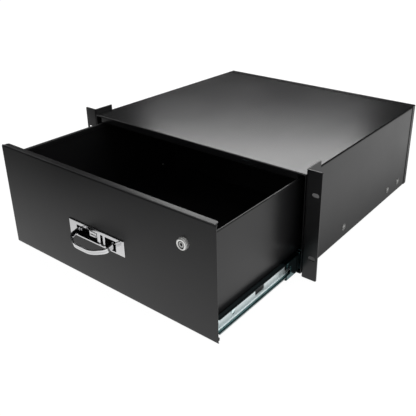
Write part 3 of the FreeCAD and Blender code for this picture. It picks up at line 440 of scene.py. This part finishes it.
def linked(mesh, name):
    """Object in the scene that shows a mesh."""
    item = bpy.data.objects.new(name, mesh)
    scene.collection.objects.link(item)
    return item


def cut(bm, cutter, name):
    """Mesh of bm, less the cutter."""
    item = linked(mesh_of(bm, name), name)
    tool = linked(mesh_of(cutter, name + "_tool"), name + "_tool")
    boolean = item.modifiers.new("recess", "BOOLEAN")
    boolean.object = tool
    boolean.solver = "EXACT"
    result = bpy.data.meshes.new_from_object(item.evaluated_get(bpy.context.evaluated_depsgraph_get()))
    bpy.data.objects.remove(tool)
    bpy.data.objects.remove(item)
    return result


def screw_pattern(radius, head, length, shank):
    """Pan head with a cross recess on its shank, along +Z, seated at the origin."""
    bm = bmesh.new()
    dome = [(radius * math.sin(a), head * (0.35 + 0.65 * math.cos(a)))
            for a in (math.radians(d) for d in (90, 75, 58, 40, 22, 8))]
    lathe(bm, [(0, -length), (shank, -length), (shank, 0), (radius * 0.97, 0)] + dome + [(0, head)],
          segments=28)
    arm, slot_width, foot = radius * 0.6, radius * 0.27, head * 0.3
    return cut(bm, cross_cutter(arm, slot_width, foot, head * 2), "screw")


def washer_pattern(inner, outer, thick):
    """Flat ring with broken edges, along +Z, seated at the origin."""
    bm = bmesh.new()
    edge = thick * 0.35
    section = [(inner, 0), (outer, 0), (outer, thick - edge), (outer - edge, thick), (inner + edge, thick),
               (inner, thick - edge)]
    turned_ring(bm, section, segments=32)
    return mesh_of(bm, "washer")


def rivet_pattern(radius, head, length):
    """Low domed rivet tail on a short shank, along +Z, seated at the origin."""
    bm = bmesh.new()
    shank = radius * 0.5
    dome = [(radius * math.sin(a), head * math.cos(a))
            for a in (math.radians(d) for d in (90, 70, 50, 30, 12))]
    lathe(bm, [(0, -length), (shank, -length), (shank, 0)] + dome + [(0, head)], segments=24)
    return mesh_of(bm, "rivet")


# ---- pieces from the shapes -------------------------------------------------------------
def piece(bm, name, finish, body, sharp):
    """Smooth piece from bm that rides on a body: edges steeper than sharp degrees stay crisp."""
    mesh = mesh_of(bm, name)
    mesh.materials.append(finish)
    mesh.shade_smooth()
    mesh.set_sharp_from_angle(angle=math.radians(sharp))
    item = linked(mesh, name)
    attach(item, body)
    return item


def set_out(name, pattern, places, slot, body, replaced=None):
    """One piece made of copies of a pattern mesh: places are (point, axis, twist)."""
    bm = bmesh.new()
    for point, axis, twist in places:
        turn = Vector(axis).to_track_quat("Z", "Y").to_matrix().to_4x4() @ Matrix.Rotation(twist, 4, "Z")
        copy = pattern.copy()
        copy.transform(Matrix.Translation(point) @ turn)
        bm.from_mesh(copy)
        bpy.data.meshes.remove(copy)
    item = piece(bm, name, finishes[slot], body, sharp=38)
    normals = item.modifiers.new("normals", "WEIGHTED_NORMAL")
    normals.keep_sharp = True
    if replaced:
        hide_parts(replaced)


def groups_of(node, gap=4 * MM):
    """Boxes of the separate pieces in one CAD node: a point within the gap of a box belongs to it."""
    places = []
    for vertex in nodes[node].data.vertices:
        co = vertex.co
        for box in places:
            if all(box[0][k] - gap <= co[k] <= box[1][k] + gap for k in range(3)):
                for k in range(3):
                    box[0][k] = min(box[0][k], co[k])
                    box[1][k] = max(box[1][k], co[k])
                break
        else:
            places.append([list(co), list(co)])
    return places


def head_places(node, axis, outward):
    """(centre, place of the head's face along the axis, direction) of each of a node's screws.

    outward(centre) says which way a head looks: 1 or -1.
    """
    found = []
    for low, high in groups_of(node):
        centre = [(a + b) / 2 for a, b in zip(low, high)]
        way = outward(centre)
        face = high[axis] if way > 0 else low[axis]
        found.append((centre, face, way))
    return found


def fit_screws(name, node, axis, outward, head, length, slot, body):
    """Finer screws in the place of a CAD node's plain ones, each turned a little further."""
    first_turn, next_turn = 0.4, 1.3
    pattern = screw_pattern(head_radius, head, length, shank_radius)
    places = []
    for number, (centre, face, way) in enumerate(head_places(node, axis, outward)):
        point = Vector(centre)
        point[axis] = face - way * head
        direction = Vector((0, 0, 0))
        direction[axis] = way
        places.append((point, direction, first_turn + next_turn * number))
    set_out(name, pattern, places, slot, body, node)


def bead(name, start, end, face, width, rise, finish, body):
    """Half-round bead along a straight edge or joint: face is the surface's outward direction."""
    along = (Vector(end) - Vector(start)).normalized()
    side = along.cross(Vector(face))
    steps = 6
    arc = [math.pi * i / steps for i in range(steps + 1)]
    section = [side * (math.cos(a) * width / 2) + Vector(face) * (math.sin(a) * rise) for a in arc]
    bm = bmesh.new()
    ends = [[bm.verts.new(Vector(place) + offset) for offset in section] for place in (start, end)]
    for i in range(len(section)):
        j = (i + 1) % len(section)
        bm.faces.new([ends[0][i], ends[0][j], ends[1][j], ends[1][i]])
    bm.faces.new(ends[0][::-1])
    bm.faces.new(ends[1])
    bmesh.ops.recalc_face_normals(bm, faces=bm.faces)
    piece(bm, name, finish, body, sharp=50)


def shadow_line_bead(name, start, end, face, width, rise):
    """Black bead on the casing: a painted shadow line along a joint."""
    bead(name, start, end, face, width, rise, shadow_line_black, "casing")


def coil_spring(name, node, wire, turns):
    """Upright coil of round wire in the box of its CAD node.

    wire is the wire's radius.
    """
    low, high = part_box(node)
    centre = (Vector(low) + Vector(high)) / 2
    radius = (high[1] - low[1]) / 2 - wire
    start, rise = low[2] + wire, high[2] - low[2] - 2 * wire
    per_turn, sides = 18, 8
    up = Vector((0, 0, 1))
    bm = bmesh.new()
    rings = []
    for step in range(turns * per_turn + 1):
        share = step / (turns * per_turn)
        angle = 2 * math.pi * step / per_turn
        outward = Vector((math.cos(angle), math.sin(angle), 0))
        middle = Vector((centre.x, centre.y, start + rise * share)) + outward * radius
        ring = []
        for k in range(sides):
            turn = 2 * math.pi * k / sides
            offset = outward * (wire * math.cos(turn)) + up * (wire * math.sin(turn))
            ring.append(bm.verts.new(middle + offset))
        rings.append(ring)
    for before, after in zip(rings, rings[1:]):
        for k in range(sides):
            bm.faces.new([before[k], before[(k + 1) % sides], after[(k + 1) % sides], after[k]])
    bm.faces.new(rings[0][::-1])
    bm.faces.new(rings[-1])
    bmesh.ops.recalc_face_normals(bm, faces=bm.faces)
    item = piece(bm, name, finishes["spring_steel"], "drawer", sharp=60)
    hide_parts(node)
    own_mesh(item)


def sideways(centre):
    """Heads look away from the object's middle plane."""
    return math.copysign(1, centre[0])


def rearward(centre):
    """Heads look to the rear, wherever they are."""
    return 1


# ---- fasteners and the latch's spring ---------------------------------------------------
X_AXIS, Y_AXIS = 0, 1
fit_screws("casing_side_screws", "case_slide_screws", X_AXIS, sideways, head_height, screw_length,
           "bright_screw", "casing")
washer_seats = [(Vector((face - way * head_height, centre[1], centre[2])), Vector((way, 0, 0)), 0)
                for centre, face, way in head_places("case_slide_screws", X_AXIS, sideways)]
set_out("casing_side_washers", washer_pattern(shank_radius, washer_radius, washer_height), washer_seats,
        "bright_screw", "casing")
fit_screws("rear_panel_screws", "rear_screws", Y_AXIS, rearward, head_height, screw_length,
           "bright_screw", "casing")
fit_screws("slide_screws", "tray_slide_screws", X_AXIS, sideways, flat_head_height, rail_screw_length,
           "zinc_steel", "drawer")
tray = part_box("drawer_tray")
tail_seats = [(Vector((way * (tray[1][0] - tray_gauge), centre[1], centre[2])), Vector((-way, 0, 0)), 0)
              for centre, face, way in head_places("tray_slide_screws", X_AXIS, sideways)]
set_out("slide_rivet_tails", rivet_pattern(rivet_radius, rivet_height, rivet_length), tail_seats,
        "bright_screw", "drawer")

coil_spring("latch_coil", "latch_spring", coil_wire, coil_turns)


# ---- hems and painted shadow lines ------------------------------------------------------
hem_width, hem_rise = 3.8 * MM, 1.1 * MM
hem_middle, hem_top = tray[1][0] - 1.5 * MM, tray[1][2] - 0.2 * MM
hem_end_gap = 3.0 * MM
coat = "black_powder_coat"
for side, name in ((-1, "left"), (1, "right")):
    bead("drawer_hem_" + name, (side * hem_middle, tray[0][1] + hem_end_gap, hem_top),
         (side * hem_middle, tray[1][1] - hem_end_gap, hem_top), (0, 0, 1), hem_width, hem_rise,
         finishes[coat], "drawer")

lid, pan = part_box("top_cover"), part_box("rear_panel")
ear_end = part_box("right_ear")[1][1]
# Painted shadow: black beads under the lid's side edges, down the rear joints and along the lid's rear end.
lid_shadow_line_width, side_shadow_line_rise = 2.3 * MM, 0.22 * MM
lid_shadow_line_height = lid[1][2] - 0.45 * MM - lid_shadow_line_width / 2
rear_shadow_line_width, rear_shadow_line_place = 4.6 * MM, pan[0][1] - 2.5 * MM
back_shadow_line_width, back_shadow_line_rise, back_shadow_line_place = 5.0 * MM, 0.12 * MM, pan[0][1] - 2.8 * MM
shadow_line_end_gap = 2.0 * MM
for side, name in ((-1, "left"), (1, "right")):
    wall = lid[1][0] * side
    outward = (side, 0, 0)
    shadow_line_bead(name + "_lid_shadow_line", (wall, ear_end + 0.4 * MM, lid_shadow_line_height),
         (wall, pan[0][1] - 0.2 * MM, lid_shadow_line_height), outward, lid_shadow_line_width, side_shadow_line_rise)
    shadow_line_bead(name + "_rear_shadow_line", (wall, rear_shadow_line_place, pan[0][2] + shadow_line_end_gap),
         (wall, rear_shadow_line_place, lid_shadow_line_height - lid_shadow_line_width / 2), outward, rear_shadow_line_width,
         side_shadow_line_rise)
shadow_line_bead("rear_lid_shadow_line", (lid[0][0] + shadow_line_end_gap, back_shadow_line_place, lid[1][2]),
     (lid[1][0] - shadow_line_end_gap, back_shadow_line_place, lid[1][2]), (0, 0, 1), back_shadow_line_width, back_shadow_line_rise)


# ---- studio -----------------------------------------------------------------------------
floor_level = cad_box[0][2]
card_level = floor_level + 0.2 * MM


def shown_ray(tree, *names):
    """1 for the rays that see the background itself, 0 for those that only carry its light."""
    path = tree.nodes.new("ShaderNodeLightPath")
    total = path.outputs[names[0]]
    for name in names[1:]:
        add = tree.nodes.new("ShaderNodeMath")
        add.operation = "MAXIMUM"
        tree.links.new(total, add.inputs[0])
        tree.links.new(path.outputs[name], add.inputs[1])
        total = add.outputs[0]
    return total


def studio_world(level):
    """White world, at full strength where it is seen or mirrored; level is its strength on matt surfaces."""
    world = bpy.data.worlds.new("studio")
    world.use_nodes = True
    scene.world = world
    tree = world.node_tree
    tree.nodes.clear()
    seen = shown_ray(tree, "Is Camera Ray", "Is Glossy Ray", "Is Transmission Ray")
    strength = tree.nodes.new("ShaderNodeMapRange")
    tree.links.new(seen, strength.inputs["Value"])
    strength.inputs["To Min"].default_value = level
    strength.inputs["To Max"].default_value = 1.0
    background = tree.nodes.new("ShaderNodeBackground")
    background.inputs["Color"].default_value = (1, 1, 1, 1)
    tree.links.new(strength.outputs["Result"], background.inputs["Strength"])
    out = tree.nodes.new("ShaderNodeOutputWorld")
    tree.links.new(background.outputs[0], out.inputs[0])


def plane_object(name, corners):
    """Four-cornered sheet."""
    mesh = bpy.data.meshes.new(name)
    mesh.from_pydata(corners, [], [(0, 1, 2, 3)])
    mesh.update()
    return linked(mesh, name)


def studio_floor(level):
    """Pale floor that glows nearly white where it is seen or mirrored, and keeps a faint shadow."""
    reach = 12.0
    floor = plane_object("studio_floor", [(-reach, -reach, level), (reach, -reach, level),
                                          (reach, reach, level), (-reach, reach, level)])
    material = bpy.data.materials.new("studio_floor")
    material.use_nodes = True
    tree = material.node_tree
    tree.nodes.clear()
    diffuse = tree.nodes.new("ShaderNodeBsdfDiffuse")
    diffuse.inputs["Color"].default_value = (0.86, 0.86, 0.86, 1)
    glow = tree.nodes.new("ShaderNodeEmission")
    glow.inputs["Strength"].default_value = 1.12
    seen = shown_ray(tree, "Is Camera Ray", "Is Glossy Ray", "Is Transmission Ray")
    share = tree.nodes.new("ShaderNodeMapRange")
    tree.links.new(seen, share.inputs["Value"])
    share.inputs["To Max"].default_value = 0.85
    mix = tree.nodes.new("ShaderNodeMixShader")
    tree.links.new(share.outputs["Result"], mix.inputs[0])
    tree.links.new(diffuse.outputs[0], mix.inputs[1])
    tree.links.new(glow.outputs[0], mix.inputs[2])
    out = tree.nodes.new("ShaderNodeOutputMaterial")
    tree.links.new(mix.outputs[0], out.inputs[0])
    floor.data.materials.append(material)


def black_card(name, corners, fades=None):
    """Black card on the set: darkens reflections, unseen by the camera.

    fades thins the card out: for an axis, (from, to, share at from, share at to).
    """
    card = plane_object(name, corners)
    material = bpy.data.materials.new(name)
    material.use_nodes = True
    tree = material.node_tree
    shader = tree.nodes["Principled BSDF"]
    shader.inputs["Base Color"].default_value = (0.01, 0.01, 0.01, 1)
    shader.inputs["Roughness"].default_value = 0.9
    split = tree.nodes.new("ShaderNodeSeparateXYZ")
    tree.links.new(tree.nodes.new("ShaderNodeTexCoord").outputs["Object"], split.inputs[0])
    share = None
    for axis, ramp in (fades or {}).items():
        span = tree.nodes.new("ShaderNodeMapRange")
        tree.links.new(split.outputs[axis], span.inputs["Value"])
        for key, number in zip(("From Min", "From Max", "To Min", "To Max"), ramp):
            span.inputs[key].default_value = number
        if share is None:
            share = span.outputs["Result"]
            continue
        product = tree.nodes.new("ShaderNodeMath")
        product.operation = "MULTIPLY"
        tree.links.new(share, product.inputs[0])
        tree.links.new(span.outputs["Result"], product.inputs[1])
        share = product.outputs[0]
    if share is not None:
        tree.links.new(share, shader.inputs["Alpha"])
    card.data.materials.append(material)
    card.visible_camera = False
    card.visible_shadow = False
    card.visible_diffuse = False


def floor_card(name, left, right, front, rear, fades=None):
    """Black card that lies just above the floor."""
    black_card(name, [(left, front, card_level), (right, front, card_level), (right, rear, card_level),
                      (left, rear, card_level)], fades)


def upright_card(name, start, end, low, high, fades=None):
    """Black card that stands between two places on the floor's plan, from low to high."""
    black_card(name, [(*start, low), (*end, low), (*end, high), (*start, high)], fades)


def soft_box(name, place, aim, width, height, power):
    """Rectangular lamp at a place, turned to its aim; power in watts."""
    data = bpy.data.lights.new(name, "AREA")
    data.shape = "RECTANGLE"
    data.size = width
    data.size_y = height
    data.energy = power
    lamp = bpy.data.objects.new(name, data)
    lamp.location = place
    lamp.rotation_euler = (Vector(aim) - Vector(place)).to_track_quat("-Z", "Y").to_euler()
    lamp.visible_camera = False
    scene.collection.objects.link(lamp)


def studio_camera():
    """Camera at the photographed angle; lens and sensor in millimetres, shift as a share of the picture."""
    azimuth, elevation, roll = math.radians(36.09), math.radians(24.16), math.radians(0.39)
    target = Vector((0.11198, -0.002, 0.05219))
    distance = 0.85206
    lens, sensor = 49.6229, 36.0
    shift = (-0.088654, -0.083005)
    back = Vector((math.sin(azimuth) * math.cos(elevation), -math.cos(azimuth) * math.cos(elevation),
                   math.sin(elevation)))
    level = Vector((math.cos(azimuth), math.sin(azimuth), 0))
    upright = back.cross(level)
    right = level * math.cos(roll) + upright * math.sin(roll)
    up = upright * math.cos(roll) - level * math.sin(roll)
    data = bpy.data.cameras.new("camera")
    data.sensor_width = sensor
    data.lens = lens
    data.shift_x, data.shift_y = shift
    data.clip_start = 0.01
    data.clip_end = 100
    camera = bpy.data.objects.new("camera", data)
    matrix = Matrix((right, up, back)).transposed().to_4x4()
    matrix.translation = target + back * distance
    camera.matrix_world = matrix
    scene.collection.objects.link(camera)
    scene.camera = camera


scene.view_settings.view_transform = "Standard"
studio_world(level=0.55)
studio_floor(floor_level)
soft_box("top_rear_box", (-1.63, 2.52, 1.83), (0.0, 0.1, 0.08), width=1.65, height=1.08, power=24.5)
soft_box("front_left_box", (-1.3, -1.5, 1.5), (0, 0, 0), width=1.2, height=1.2, power=3)
soft_box("right_box", (1.6, 0.2, 1.2), (0.1, 0.1, 0), width=1.0, height=1.0, power=8)
# A tall card stands far behind the set, where the lid mirrors it.
upright_card("rear_card", (-5.5, 2.2), (3.2, 4.4), low=-0.08, high=4.5)

# Cards to the front and the left dim what the front mirrors; the drawer clears them when it is out.
set_left, set_right, set_front = -1.6, 0.3, -0.62
floor_card("front_card", left=set_left, right=set_right, front=set_front, rear=-0.195,
           fades={"X": (-0.38, 0.3, 1.0, 0.15), "Y": (-0.45, -0.2, 1.0, 0.15)})
upright_card("far_card", (set_left, set_front), (set_right, set_front), low=card_level, high=0.8,
             fades={"X": (-0.3, 0.25, 1.0, 0.2)})
upright_card("left_card", (-0.6, set_front), (-0.6, -0.2), low=0.0, high=0.8,
             fades={"Z": (0.0, 0.1, 0.2, 1.0)})

# Cards under the open drawer and along the casing's right side dim the floor's glow there.
floor_card("under_card", left=-0.203, right=0.203, front=-0.19, rear=-0.004)
floor_card("right_card", left=0.217, right=0.36, front=0.04, rear=0.6, fades={"X": (0.22, 0.32, 0.6, 0.0)})
studio_camera()
